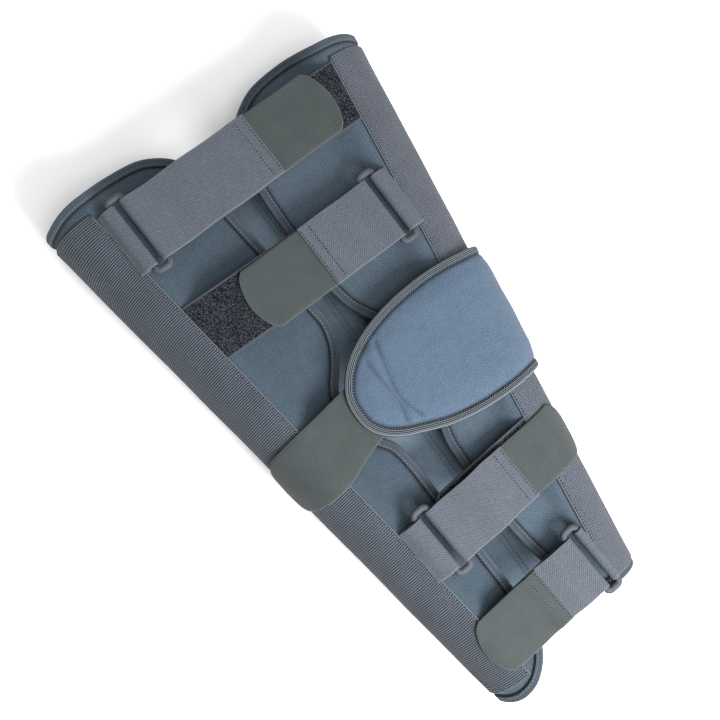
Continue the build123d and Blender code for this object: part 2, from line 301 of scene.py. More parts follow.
def ribbon(name, centre, across, out, half, thick, mats, nv=14, v_top=None, top_mat=None, u0=0.0, lift=None, caps=True):
    """strap of one width along a line of stations; the section is a flat band with round edges"""
    centre, across, out = (np.asarray(x, float) for x in (centre, across, out))
    half = np.broadcast_to(np.asarray(half, float), (len(centre),))
    k = 1 - 1.3 / float(np.mean(half))
    k = np.r_[-1, np.linspace(-k, k, nv - 2), 1]
    t = thick / 2
    sec = [(-1, -0.55, 0), (-1, 0.55, 0)] + [(x, 1, 1) for x in k * 0.992] + [(1, 0.55, 0), (1, -0.55, 0)] + [(x, -1, 0) for x in -k * 0.992]
    sec = np.array(sec)
    m = len(sec)
    u = u0 + np.r_[0, np.cumsum(np.linalg.norm(np.diff(centre, axis=0), axis=1))]
    verts, uv, rim = [], [], []
    for i in range(len(centre)):
        v = sec[:, 0] * half[i] * np.where(np.abs(sec[:, 0]) < 1, 1 - 0.25 * t / half[i], 1)
        h = sec[:, 1] * t
        if lift is not None:
            h = h + lift(u[i], v, sec[:, 2])
        verts.append(centre[i] + v[:, None] * across[i] + h[:, None] * out[i])
        uv.append(np.stack([np.full(m, u[i]), v], -1))
        rim.append(half[i] - np.abs(v))
    faces, idx = [], []
    for i in range(len(centre) - 1):
        for j in range(m):
            j2 = (j + 1) % m
            faces.append((i * m + j, i * m + j2, (i + 1) * m + j2, (i + 1) * m + j))
            is_top = sec[j, 2] == 1 and sec[j2, 2] == 1 and 2 < j < 1 + nv - 1
            idx.append(top_mat if (top_mat is not None and is_top) else 0)
    if caps:
        faces.append(tuple(range(m)))
        faces.append(tuple(reversed(range((len(centre) - 1) * m, len(centre) * m))))
        idx += [0, 0]
    return fix_normals(make(name, np.vstack(verts), faces, np.vstack(uv), np.concatenate(rim), mats, idx))


def tube_section(name, rings, uv, mats, closed=False, rim=None):
    """skin over a run of equal rings of points"""
    rings = np.asarray(rings, float)
    n, m = rings.shape[:2]
    faces = []
    for i in range(n if closed else n - 1):
        i2 = (i + 1) % n
        for j in range(m):
            j2 = (j + 1) % m
            faces.append((i * m + j, i2 * m + j, i2 * m + j2, i * m + j2))
    if not closed:
        faces.append(tuple(reversed(range(m))))
        faces.append(tuple(range((n - 1) * m, n * m)))
    return fix_normals(make(name, rings.reshape(-1, 3), faces, uv.reshape(-1, 2), rim, mats))


def frames_on(fmap, a, b, eps=0.5):
    """position and outward normal of a mapped surface at parameters a, b"""
    p = fmap(a, b, 0.0)
    n = fmap(a, b, 1.0) - p
    return p, n / (np.linalg.norm(n, axis=-1)[:, None] + 1e-12)




def thread(name, p, n, pitch, length, radius, mats, sink=0.35, slant=0.0, flat=0.8):
    """row of separate stitches along 3-D points p, lying on a surface with normals n"""
    d = np.r_[0, np.cumsum(np.linalg.norm(np.diff(p, axis=0), axis=1))]
    count = max(1, int(d[-1] / pitch))
    off = (d[-1] - (count - 1) * pitch) / 2
    ring = 6
    prof = [(-0.5, 0.35), (-0.32, 0.9), (0.0, 1.0), (0.32, 0.9), (0.5, 0.35)]
    verts, faces, uv = [], [], []
    for c in range(count):
        q = off + c * pitch

        def at(x):
            return np.array([np.interp(x, d, p[:, i]) for i in range(3)])

        mid, a, b = at(q), at(max(0, q - 0.6)), at(min(d[-1], q + 0.6))
        t = (b - a) / (np.linalg.norm(b - a) + 1e-12)
        nn = np.array([np.interp(q, d, n[:, i]) for i in range(3)])
        nn /= np.linalg.norm(nn) + 1e-12
        side = np.cross(nn, t)
        if slant:
            t = t * math.cos(slant) + side * math.sin(slant)
            side = np.cross(nn, t)
        k = len(verts)
        for x, rr in prof:
            for j in range(ring):
                ang = 2 * math.pi * j / ring
                arch = (1 - (2 * x) ** 2) * radius * 0.5
                verts.append(mid + t * x * length + side * math.cos(ang) * rr * radius
                             + nn * (math.sin(ang) * rr * radius * flat - radius * sink + arch))
                uv.append((q + x * length, ang))
        for i in range(len(prof) - 1):
            for j in range(ring):
                j2 = (j + 1) % ring
                faces.append((k + i * ring + j, k + i * ring + j2, k + (i + 1) * ring + j2, k + (i + 1) * ring + j))
        faces.append(tuple(k + j for j in reversed(range(ring))))
        faces.append(tuple(k + (len(prof) - 1) * ring + j for j in range(ring)))
    return make(name, np.array(verts), faces, np.array(uv), None, mats)


def join(name, obs):
    """several loose meshes as one piece"""
    obs = [o for o in obs if o is not None]
    import bmesh
    bm = bmesh.new()
    mats = []
    for o in obs:
        for m in o.data.materials:
            if m not in mats:
                mats.append(m)
    for o in obs:
        k = len(bm.faces)
        remap = [mats.index(m) for m in o.data.materials]
        bm.from_mesh(o.data)
        bm.faces.ensure_lookup_table()
        for f in bm.faces[k:]:
            f.material_index = remap[f.material_index] if f.material_index < len(remap) else 0
    me = bpy.data.meshes.new(name)
    bm.to_mesh(me)
    bm.free()
    for m in mats:
        me.materials.append(m)
    for o in obs:
        bpy.data.objects.remove(o)
    ob = bpy.data.objects.new(name, me)
    bpy.context.scene.collection.objects.link(ob)
    return ob


# ------------------------------------------------------------------ materials
def srgb(r, g, b, gain=0.5):
    def f(c):
        c /= 255.0
        return gain * (c / 12.92 if c <= 0.04045 else ((c + 0.055) / 1.055) ** 2.4)
    return (f(r), f(g), f(b), 1.0)


class Mat:
    """small node writer"""

    def __init__(self, name, rough=0.9, sheen=0.0, specular=0.3, metallic=0.0, sheen_rough=0.5, coat=0.0):
        self.m = bpy.data.materials.new(name)
        self.m.use_nodes = True
        self.t = self.m.node_tree
        self.bsdf = self.t.nodes["Principled BSDF"]
        self.bsdf.inputs["Roughness"].default_value = rough
        self.bsdf.inputs["Sheen Weight"].default_value = sheen
        self.bsdf.inputs["Sheen Roughness"].default_value = sheen_rough
        self.bsdf.inputs["Specular IOR Level"].default_value = specular
        self.bsdf.inputs["Metallic"].default_value = metallic
        self.uvs = {}

    def n(self, kind, **kw):
        node = self.t.nodes.new(kind)
        for k, v in kw.items():
            setattr(node, k, v)
        return node

    def put(self, sock, value):
        if hasattr(value, "is_linked") or isinstance(value, bpy.types.NodeSocket):
            self.t.links.new(value, sock)
        else:
            sock.default_value = value

    def uv(self, name="cloth"):
        if name not in self.uvs:
            node = self.n("ShaderNodeUVMap", uv_map=name)
            self.uvs[name] = node.outputs["UV"]
        return self.uvs[name]

    def obj(self):
        if "obj" not in self.uvs:
            self.uvs["obj"] = self.n("ShaderNodeTexCoord").outputs["Object"]
        return self.uvs["obj"]

    def axis(self, vec, k):
        key = ("sep", vec.as_pointer() if hasattr(vec, "as_pointer") else id(vec))
        if key not in self.uvs:
            s = self.n("ShaderNodeSeparateXYZ")
            self.put(s.inputs[0], vec)
            self.uvs[key] = s
        return self.uvs[key].outputs[k]

    def math(self, op, a, b=None, c=None):
        node = self.n("ShaderNodeMath", operation=op)
        self.put(node.inputs[0], a)
        if b is not None:
            self.put(node.inputs[1], b)
        if c is not None:
            self.put(node.inputs[2], c)
        return node.outputs[0]

    def noise(self, vec, scale, detail=2.0, rough=0.5, stretch=None):
        if stretch is not None:
            mp = self.n("ShaderNodeMapping")
            self.put(mp.inputs["Vector"], vec)
            mp.inputs["Scale"].default_value = stretch
            vec = mp.outputs[0]
        node = self.n("ShaderNodeTexNoise")
        self.put(node.inputs["Vector"], vec)
        node.inputs["Scale"].default_value = scale
        node.inputs["Detail"].default_value = detail
        node.inputs["Roughness"].default_value = rough
        return node.outputs["Fac"]

    def voronoi(self, vec, scale, feature="F1"):
        node = self.n("ShaderNodeTexVoronoi", feature=feature)
        self.put(node.inputs["Vector"], vec)
        node.inputs["Scale"].default_value = scale
        return node.outputs["Distance"], node.outputs.get("Color")

    def sine(self, x, pitch, phase=0.0):
        """0..1 wave of a coordinate in mm"""
        a = self.math("MULTIPLY", x, 2 * math.pi / pitch)
        if not isinstance(phase, float) or phase:
            a = self.math("ADD", a, phase)
        return self.math("MULTIPLY_ADD", self.math("SINE", a), 0.5, 0.5)

    def ramp(self, x, stops):
        node = self.n("ShaderNodeValToRGB")
        self.put(node.inputs[0], x)
        el = node.color_ramp.elements
        while len(el) < len(stops):
            el.new(0.5)
        for e, (pos, col) in zip(el, stops):
            e.position = pos
            e.color = col
        return node.outputs[0]

    def mix(self, fac, a, b, mode="MIX"):
        node = self.n("ShaderNodeMix", data_type="RGBA", blend_type=mode)
        self.put(node.inputs[0], fac)
        self.put(node.inputs[6], a)
        self.put(node.inputs[7], b)
        return node.outputs[2]

    def smooth(self, x, lo, hi):
        node = self.n("ShaderNodeMapRange", interpolation_type="SMOOTHSTEP")
        self.put(node.inputs["Value"], x)
        node.inputs["From Min"].default_value = lo
        node.inputs["From Max"].default_value = hi
        return node.outputs["Result"]

    def out(self, color, height=None, distance=0.0003, strength=1.0, rough=None):
        self.put(self.bsdf.inputs["Base Color"], color)
        if rough is not None:
            self.put(self.bsdf.inputs["Roughness"], rough)
        if height is not None:
            b = self.n("ShaderNodeBump")
            b.inputs["Strength"].default_value = strength
            b.inputs["Distance"].default_value = distance
            self.put(b.inputs["Height"], height)
            self.put(self.bsdf.inputs["Normal"], b.outputs[0])
        return self.m


def scale_col(c, k):
    return (c[0] * k, c[1] * k, c[2] * k, 1.0)


def felt(name, base, warm, light):
    """brushed felt: short fibres in a heathered mix, slightly cloudy, with painted shade along seams, creases and cut
    edges
    """
    m = Mat(name, rough=0.95, sheen=0.06, specular=0.12, sheen_rough=0.6)
    uv = m.uv()
    fib = m.noise(uv, 1.25, 3.0, 0.7)
    fib2 = m.noise(uv, 1.7, 2.0, 0.6, stretch=(1.0, 0.6, 1.0))
    cloud = m.noise(uv, 0.045, 2.0, 0.55)
    blot = m.noise(uv, 0.16, 2.0, 0.5)
    f = m.math("ADD", m.math("MULTIPLY", fib, 0.6), m.math("MULTIPLY", fib2, 0.4))
    c = m.ramp(f, [(0.32, scale_col(base, 0.48)), (0.5, base), (0.68, scale_col(light, 1.25))])
    # painted shade: the second rim coordinate darkens seam grooves, creases and the ends of the back felt
    painted_shade = m.math("MULTIPLY_ADD", m.axis(m.uv("rim"), 1), -0.62, 1.0)
    c = m.mix(1.0, c, m_gray(m, painted_shade), "MULTIPLY")
    c = m.mix(m.smooth(cloud, 0.35, 0.7), c, m.mix(1.0, c, warm, "MULTIPLY"))
    k = m.math("MULTIPLY_ADD", blot, 0.30, 0.85)
    c = m.mix(1.0, c, m_gray(m, k), "MULTIPLY")
    # painted shade: darker up to 4 mm from every cut edge, fading out by 9 mm, beside the binding
    edge = m.smooth(m.axis(m.uv("rim"), 0), 4.0, 9.0)
    c = m.mix(1.0, c, m_gray(m, m.math("MULTIPLY_ADD", edge, 0.22, 0.78)), "MULTIPLY")
    h = m.math("ADD", f, m.math("MULTIPLY", blot, 0.8))
    return m.out(c, h, 0.00035, 0.8)


def m_gray(m, k):
    node = m.n("ShaderNodeCombineColor")
    for i in range(3):
        m.put(node.inputs[i], k)
    return node.outputs[0]


def webbing(name, base, dark, light, edge_col, pitch=1.15):
    """woven elastic tape: crossed yarns, a paler selvage along both edges"""
    m = Mat(name, rough=0.85, sheen=0.05, specular=0.18)
    uv = m.uv()
    u, v = m.axis(uv, 0), m.axis(uv, 1)
    wob = m.math("MULTIPLY", m.noise(uv, 0.5, 2.0), 1.6)
    a = m.sine(u, pitch, wob)
    b = m.sine(v, pitch * 0.92, wob)
    diag = m.sine(m.math("ADD", u, m.math("MULTIPLY", v, 0.9)), pitch * 1.7)
    weave = m.math("MULTIPLY", m.math("ADD", m.math("MULTIPLY", a, b), m.math("MULTIPLY", diag, 0.35)), 0.74)
    grain = m.noise(uv, 1.1, 3.0, 0.75)
    yarn = m.noise(uv, 0.9, 2.0, 0.6, stretch=(0.25, 1.6, 1.0))
    f = m.math("ADD", m.math("MULTIPLY", weave, 0.42), m.math("ADD", m.math("MULTIPLY", grain, 0.42), m.math("MULTIPLY", yarn, 0.22)))
    c = m.ramp(f, [(0.28, scale_col(dark, 0.7)), (0.45, base), (0.64, scale_col(light, 1.2))])
    cloud = m.noise(uv, 0.06, 2.0)
    c = m.mix(1.0, c, m_gray(m, m.math("MULTIPLY_ADD", cloud, 0.24, 0.88)), "MULTIPLY")
    rim = m.axis(m.uv("rim"), 0)
    e = m.math("SUBTRACT", 1.0, m.smooth(rim, 0.5, 1.5))
    lines = m.sine(rim, 0.8)
    ec = m.mix(lines, edge_col, scale_col(edge_col, 0.7))
    c = m.mix(e, c, ec)
    return m.out(c, m.math("ADD", f, m.math("MULTIPLY", lines, m.math("MULTIPLY", e, 0.5))), 0.0004, 0.9)


def pile(name):
    """dark looped pile: tangled loops with paler and purplish flecks"""
    m = Mat(name, rough=1.0, sheen=0.05, specular=0.08)
    uv = m.uv()
    d1, _ = m.voronoi(uv, 0.95)
    g = m.noise(uv, 1.1, 3.0, 0.75)
    big = m.noise(uv, 0.10, 2.0)
    f = m.math("ADD", m.math("MULTIPLY", m.math("SUBTRACT", 1.0, d1), 0.5), m.math("MULTIPLY", g, 0.55))
    c = m.ramp(f, [(0.43, srgb(28, 30, 36)), (0.60, srgb(66, 68, 76)), (0.77, srgb(118, 119, 128))])
    c = m.mix(m.smooth(big, 0.35, 0.7), c, m.mix(1.0, c, (0.86, 0.9, 1.0, 1.0), "MULTIPLY"))
    return m.out(c, f, 0.0009, 1.0)


def ribbed(name, base, dark, light, crisp=0.40):
    """ribbed loop cloth of the side panels; its ribs are in the mesh and counted by the second coordinate"""
    m = Mat(name, rough=0.95, sheen=0.05, specular=0.12)
    uv = m.uv()
    u, v = m.axis(uv, 0), m.axis(uv, 1)
    rib = m.math("MULTIPLY_ADD", m.math("COSINE", m.math("MULTIPLY", v, 2 * math.pi)), 0.5, 0.5)
    bead = m.sine(u, 1.3, m.math("MULTIPLY", m.noise(uv, 0.8, 2.0), 6.0))
    grain = m.noise(uv, 1.3, 3.0, 0.75, stretch=(1.0, 1.6, 1.0))
    f = m.math("ADD", m.math("MULTIPLY", rib, crisp), m.math("ADD", m.math("MULTIPLY", bead, 0.18), m.math("MULTIPLY", grain, 0.90 - crisp)))
    c = m.ramp(f, [(0.24, dark), (0.52, base), (0.84, light)])
    cloud = m.noise(uv, 0.05, 3.0, 0.6)
    c = m.mix(1.0, c, m_gray(m, m.math("MULTIPLY_ADD", cloud, 0.5, 0.75)), "MULTIPLY")
    return m.out(c, f, 0.0005, 0.9)


def tape(name, base, dark, light):
    """binding tape: fine cords along its length"""
    m = Mat(name, rough=0.85, sheen=0.05, specular=0.18)
    uv = m.uv()
    u, v = m.axis(uv, 0), m.axis(uv, 1)
    cords = m.sine(v, 1.25, math.pi / 2)
    twill = m.sine(m.math("ADD", u, m.math("MULTIPLY", v, 1.4)), 1.05, m.math("MULTIPLY", m.noise(uv, 0.6, 2.0), 2.0))
    g = m.noise(uv, 1.6, 2.0, 0.6)
    f = m.math("ADD", m.math("MULTIPLY", cords, 0.5), m.math("ADD", m.math("MULTIPLY", twill, 0.2), m.math("MULTIPLY", g, 0.3)))
    c = m.ramp(f, [(0.22, dark), (0.5, base), (0.8, light)])
    return m.out(c, f, 0.0004, 0.9)


def hook(name, base, dark, light):
    """back of hook tape: close fine ribs across the tape, cut edges a little paler"""
    m = Mat(name, rough=0.8, sheen=0.03, specular=0.2)
    uv = m.uv()
    u, v = m.axis(uv, 0), m.axis(uv, 1)
    rib = m.sine(u, 0.95, m.math("MULTIPLY", m.noise(uv, 0.35, 2.0), 2.4))
    dash = m.sine(m.math("ADD", v, m.math("MULTIPLY", u, 0.5)), 1.3)
    g = m.noise(uv, 1.1, 3.0, 0.75)
    f = m.math("ADD", m.math("MULTIPLY", rib, 0.34), m.math("ADD", m.math("MULTIPLY", dash, 0.2), m.math("MULTIPLY", g, 0.46)))
    c = m.ramp(f, [(0.30, scale_col(dark, 0.75)), (0.5, base), (0.70, scale_col(light, 1.1))])
    cloud = m.noise(uv, 0.07, 2.0)
    c = m.mix(1.0, c, m_gray(m, m.math("MULTIPLY_ADD", cloud, 0.3, 0.85)), "MULTIPLY")
    e = m.math("SUBTRACT", 1.0, m.smooth(m.axis(m.uv("rim"), 0), 0.3, 1.1))
    c = m.mix(m.math("MULTIPLY", e, 0.6), c, scale_col(light, 1.15))
    return m.out(c, f, 0.0003, 0.8)


def moulded(name, base):
    m = Mat(name, rough=0.6, specular=0.3)
    o = m.obj()
    g = m.noise(o, 900.0, 2.0)
    b = m.noise(o, 90.0, 2.0)
    c = m.mix(m.smooth(b, 0.3, 0.7), scale_col(base, 0.92), scale_col(base, 1.07))
    return m.out(c, g, 0.00004, 0.5, rough=m.math("MULTIPLY_ADD", b, 0.16, 0.52))


def metal(name):
    m = Mat(name, rough=0.35, metallic=1.0, specular=0.5)
    g = m.noise(m.obj(), 700.0, 2.0, stretch=(1.0, 0.03, 1.0))
    c = m.ramp(g, [(0.3, (0.42, 0.43, 0.45, 1)), (0.7, (0.56, 0.57, 0.59, 1))])
    return m.out(c, g, 0.00003, 0.4)


def thread_mat(name, base):
    m = Mat(name, rough=0.7, sheen=0.1, specular=0.3)
    uv = m.uv()
    tw = m.sine(m.math("ADD", m.axis(uv, 0), m.math("MULTIPLY", m.axis(uv, 1), 0.25)), 0.5)
    c = m.mix(tw, scale_col(base, 0.75), base)
    return m.out(c, tw, 0.00008, 0.6)


FELT = felt("felt_wrap", srgb(88, 104, 117), (0.95, 1.0, 1.02, 1), srgb(107, 123, 136))
# painted light: the back felt is about twice as pale as the wing felt so the deep gap between the wings reads as lit
FELT_BACK_PAINTED_LIGHT = felt("felt_back_painted_light", srgb(168, 193, 213), (0.97, 1.0, 1.01, 1), srgb(182, 206, 225))
# painted shade and painted light: the left wing's felt is a darker copy and the right wing's a lighter copy of the wrap
# felt, for how the light falls on each side
FELT_L_PAINTED_SHADE = felt("felt_left_painted_shade", srgb(81, 96, 109), (0.95, 1.0, 1.02, 1), srgb(99, 115, 128))
FELT_R_PAINTED_LIGHT = felt("felt_right_painted_light", srgb(95, 111, 125), (0.95, 1.0, 1.02, 1), srgb(114, 130, 144))
FELT_PAD = felt("felt_pad", srgb(98, 118, 141), (1.0, 1.02, 0.99, 1), srgb(116, 136, 160))
SELVAGE = tape("panel_selvage", srgb(112, 121, 131), srgb(72, 80, 90), srgb(150, 159, 168))
# painted shade: the left side panel takes a darker copy of the ribbed cloth with stronger rib contrast, for the side
# turned from the light
RIBBED = ribbed("ribbed_pile", srgb(93, 98, 109), srgb(40, 45, 54), srgb(158, 165, 176), crisp=0.13)
RIBBED_PAINTED_SHADE = ribbed("ribbed_pile_left_painted_shade", srgb(82, 89, 99), srgb(43, 49, 58), srgb(132, 140, 150))
WEB = webbing("grey_webbing", srgb(100, 107, 118), srgb(72, 78, 89), srgb(132, 139, 150), srgb(134, 141, 150))
WEB_BASE = webbing("base_webbing", srgb(78, 82, 92), srgb(56, 59, 68), srgb(104, 109, 119), srgb(98, 103, 112))
TAPE = tape("binding_tape", srgb(84, 98, 111), srgb(58, 69, 80), srgb(108, 121, 133))
TAPE_PAD = tape("pad_binding_tape", srgb(80, 88, 97), srgb(24, 29, 35), srgb(158, 166, 175))
HOOK = hook("hook_tape", srgb(78, 86, 87), srgb(58, 65, 66), srgb(102, 110, 109))
PILE = pile("loop_pile")
PLASTIC = moulded("ring_plastic", srgb(84, 88, 98))
THREAD = thread_mat("thread_light", srgb(134, 144, 153))
# painted shade: a dark thread material used only for beads that darken needle holes and seam grooves
PAINTED_SHADE_THREAD = thread_mat("painted_shade_thread", srgb(24, 27, 33))
STAY = metal("stay_aluminium")

for node in ("left_stay", "right_stay", "posterior_stay_left", "posterior_stay_right"):
    ob = frame["nodes"][node]
    ob.data.materials.clear()
    ob.data.materials.append(STAY)

# ------------------------------------------------------------------ wings and their bindings
LEFT_EDGE = [(-128, 451.6), (-100, 455.2), (-76, 455.8), (-48, 451.5), (-31, 439), (-24, 418),
             (-21.5, 389), (-18.2, 360), (-12.9, 306), (-11.6, 288), (-15.5, 273), (-24, 259),
             (-34, 246), (-39, 226), (-33, 207), (-24, 193), (-20.6, 174), (-19.8, 153),
             (-17.6, 95), (-16.8, 60), (-19.5, 30), (-28, 12.5), (-40, 2), (-55, -2.8), (-66, -1.6)]
RIGHT_EDGE = [(128, 450.4), (104, 453.4), (66, 455.8), (36, 450.4), (19, 439), (7, 418),
              (3.1, 389), (2.0, 360), (3.9, 303), (7.2, 288), (13, 276), (22, 262),
              (29, 244), (30, 226), (24, 206), (12, 189), (7, 174), (5.8, 157),
              (7.2, 100), (11, 72), (19, 42), (30, 25.5), (42, 20.5), (56, 19.0), (66, 18.0)]


def wing_loop(side, edge, y_top, y_bot):
    e = catmull([(to_s(x, y), y) for x, y in edge], 2.5)
    top = resample([(side * rear(y_top), y_top), tuple(e[0])], 3.0)
    bot = resample([tuple(e[-1]), (side * rear(y_bot), y_bot)], 3.0)
    back = resample([(side * rear(y_bot), y_bot), (side * rear(y_top), y_top)], 4.0)
    bound = np.vstack([top[:-1], e, bot[1:]])
    return np.vstack([bound, back[1:-1]]), bound


def wing_map(s, y, r):
    """face of the sagging wings; where they hang low they also lean out from the knee"""
    g = sag(s, y)
    q = surf(s, y, r + g)
    k = -g / (678.0 - depth(y))
    q[..., 0] += (q[..., 0] + 106.4) * k
    q[..., 1] += (q[..., 1] - 17.5) * k
    return q


def binding(name, bound, fmap, sign, mats, low=-FOAM, width=6.4, high=0.0, proud=0.9, ridge=0.16):
    """tape folded over an edge: cords run along it and its inner borders are stitched down"""
    p = resample(bound, 2.2)
    t = np.gradient(p, axis=0)
    t /= np.linalg.norm(t, axis=1)[:, None]
    inw = np.stack([-t[:, 1], t[:, 0]], -1) * sign
    sec = []
    for m in np.linspace(width, 0.9, 18):
        sec.append((m, high + proud + ridge * math.cos(2 * math.pi * m / 1.25) - 0.5 * max(0, (m - width + 0.8)) ** 2))
    mid, hh = (high + low) / 2, (high - low) / 2 + proud
    for ang in np.linspace(80, -80, 9):
        a = math.radians(ang)
        sec.append((0.9 - (0.9 + proud) * math.cos(a), mid + hh * math.sin(a)))
    for m in np.linspace(0.9, width, 18):
        sec.append((m, low - proud - ridge * math.cos(2 * math.pi * m / 1.25) + 0.5 * max(0, (m - width + 0.8)) ** 2))
    sec.append((width + 0.1, low + 0.4))
    sec.append((width - 1.0, mid))
    sec.append((width + 0.1, high - 0.4))
    sec = np.array(sec)
    # cords run at a fixed pitch from the fold, the same on both faces
    girth = np.r_[sec[:18, 0], 0.9 + 0.9 * np.sin(np.linspace(0, np.pi, 9)), sec[27:, 0]]
    u = np.r_[0, np.cumsum(np.linalg.norm(np.diff(p, axis=0), axis=1))]
    rings, uvs = [], []
    for (m, r), g in zip(sec, girth):
        q = p + inw * m
        g3 = fmap(q[:, 0], q[:, 1], r)
        g3[:, 2] = np.maximum(g3[:, 2], 0.12 + 0.02 * (r + 8.0))      # flattened where it lies on the table
        rings.append(g3)
        uvs.append(np.stack([u, np.full(len(u), g)], -1))
    return tube_section(name, np.stack(rings, 1), np.stack(uvs, 1), mats)


def offset_run(bound, sign, m, step=2.0):
    p = resample(bound, step)
    t = np.gradient(p, axis=0)
    t /= np.linalg.norm(t, axis=1)[:, None]
    return p + np.stack([-t[:, 1], t[:, 0]], -1) * sign * m


def stitch_run(name, line, fmap, r, pitch=2.9, length=2.1, radius=0.36, mats=(THREAD,), **kw):
    line = np.asarray(line, float)
    r = np.full(len(line), float(np.mean(r)))
    p = fmap(line[:, 0], line[:, 1], r)
    n = fmap(line[:, 0], line[:, 1], r + 1.0) - p
    n /= np.linalg.norm(n, axis=1)[:, None]
    p = np.stack([p[:, 0], p[:, 1], np.maximum(p[:, 2], radius + 0.1)], 1)
    return thread(name, p, n, pitch, length, radius, mats, **kw)


def stitch_rows(name, line, fmap, r, pitch=2.9, length=2.1, radius=0.36, light=THREAD):
    """a seam row: pale stitches, with sunk dark beads at the same places as painted shade of the needle holes"""
    a = stitch_run(name + "_a", line, fmap, r, pitch, length, radius, [light])
    line = np.asarray(line, float)
    shifted = resample(line, pitch / 2)
    b = stitch_run(name + "_b", shifted, fmap, r, pitch, 0.9, radius * 1.35, [PAINTED_SHADE_THREAD], sink=0.75)
    # the dark beads, painted shade of the needle holes, sit at the same places as the pale stitches
    return join(name, [a, b])


for side, edge, y_top, y_bot, nm in ((-1, LEFT_EDGE, 451.6, -1.0, "left"), (1, RIGHT_EDGE, 450.4, 17.0, "right")):
    loop, bound = wing_loop(side, edge, y_top, y_bot)
    sign = 1.0 if area2(loop) > 0 else -1.0

    def w_top(a, b, d):
        seam = 0.9 * np.exp(-((d - 6.2) / 1.5) ** 2)
        return wing_map(a, b, -seam)

    def w_bot(a, b, d):
        seam = 0.6 * np.exp(-((d - 6.2) / 1.5) ** 2)
        return wing_map(a, b, -FOAM + seam)

    # painted light and shade: each wing takes its lit or shaded felt copy, and painted shade darkens the seam groove
    # about 6 mm in from the bound edge
    wing = closed_sheet(f"{nm}_wing_felt", loop, 3.6, w_top, w_bot, (2.4, 4.2, 5.2, 6.2, 7.2, 9.0), [FELT_L_PAINTED_SHADE if nm == "left" else FELT_R_PAINTED_LIGHT],
                        painted_shade=lambda a, b, d: 0.95 * np.exp(-((d - 6.0) / 1.0) ** 2))
    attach(wing, "root")
    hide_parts(f"{nm}_wing")
    tp = binding(f"{nm}_wing_tape", bound, wing_map, sign, [TAPE], width=5.2)
    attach(tp, "root")
    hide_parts(f"{nm}_wing_binding")
    # a pale seam row, and a row of dark beads as painted shade in the seam groove
    st = join(f"{nm}_wing_stitching", [
        stitch_rows("q1", offset_run(bound, sign, 4.2), wing_map, 0.95, 2.7, 1.9, 0.32),
        stitch_run("q2", offset_run(bound, sign, 5.9), wing_map, -0.45, 2.7, 2.5, 0.45, [PAINTED_SHADE_THREAD], sink=0.2)])
    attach(st, "root")

# ------------------------------------------------------------------ back panel, its bindings and stay pocket
def back_map(x, y, r):
    x, y, r = np.broadcast_arrays(np.asarray(x, float), np.asarray(y, float), np.asarray(r, float))
    return np.stack([x, y - Y_MID, r], -1)


def back_side(y):
    return float(half_flat(y)) - 4.0


def back_low(x):
    return 5.0 + 8.0 * (x + 150.0) / 300.0


bl, br = (-back_side(8), back_low(-40)), (back_side(10), back_low(40))
tl, tr = (-back_side(450), 450.0), (back_side(450), 450.0)
loop = np.vstack([resample([bl, br], 3.0)[:-1], resample([br, tr], 4.0)[:-1], resample([tr, tl], 4.0)[:-1], resample([tl, bl], 4.0)[:-1]])
# painted light on the pale back felt between the wings, with painted shade bringing it back to the wing felt's tone
# towards both ends
back = closed_sheet("back_panel_felt", loop, 5.0, lambda a, b, d: back_map(a, b, FOAM - 0.05), lambda a, b, d: back_map(a, b, 0.12 + 0.5 * np.exp(-(d / 2.0) ** 2)), (2.0, 5.0), [FELT_BACK_PAINTED_LIGHT, FELT], mat_side=1,
                    painted_shade=lambda a, b, d: 1.1 * (1.0 - step01((np.minimum(b, 452.0 - b) - 6.0) / 70.0)))
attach(back, "root")
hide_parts("back_panel")
for nm, run, sg in (("back_top", [tr, tl], 1.0), ("back_bottom", [bl, br], 1.0)):
    p = resample(run, 2.2)
    tp = binding(f"{nm}_tape", p, back_map, sg, [TAPE], low=0.45, high=FOAM, proud=0.4)
    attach(tp, "root")
    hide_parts(f"{nm}_binding")

pl = np.array([(-42, 22), (26, 22), (26, 433), (-42, 433)], float)
loop = np.vstack([resample([pl[i], pl[(i + 1) % 4]], 3.0)[:-1] for i in range(4)])


def pocket_top(a, b, d):
    bulge = np.exp(-((np.abs(a + 8) - 22) / 8.5) ** 4)
    return back_map(a, b, FOAM + 0.5 + 7.6 * step01(d / 9.0) * (0.3 + 0.7 * bulge))


# painted light on the pale pocket felt, with painted shade bringing it back to the wing felt's tone towards both ends
pocket = closed_sheet("posterior_pocket_cloth", loop, 3.0, pocket_top, lambda a, b, d: back_map(a, b, FOAM + 0.02), (1.2, 2.6), [FELT_BACK_PAINTED_LIGHT],
                      painted_shade=lambda a, b, d: 1.1 * (1.0 - step01((np.minimum(b, 452.0 - b) - 6.0) / 70.0)))
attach(pocket, "root")
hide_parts("posterior_pocket")
rows = []
for x in (-39.5, -36.8, -20.5, 4.3, 7.4, 23.2):
    line = resample([(x, 25.0), (x, 430.0)], 3.0)
    rows.append(stitch_rows(f"pk{x}", line, lambda a, b, r: pocket_top(a, b, np.minimum(np.minimum(a + 42, 26 - a), np.minimum(b - 22, 433 - b))) + np.array([0, 0, 1.0]) * np.asarray(r)[..., None], np.full(len(line), 0.05), 2.9, 2.1, 0.36))
st = join("posterior_pocket_stitching", rows)
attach(st, "root")

# ------------------------------------------------------------------ ribbed side panels
RIB_PITCH = 1.6


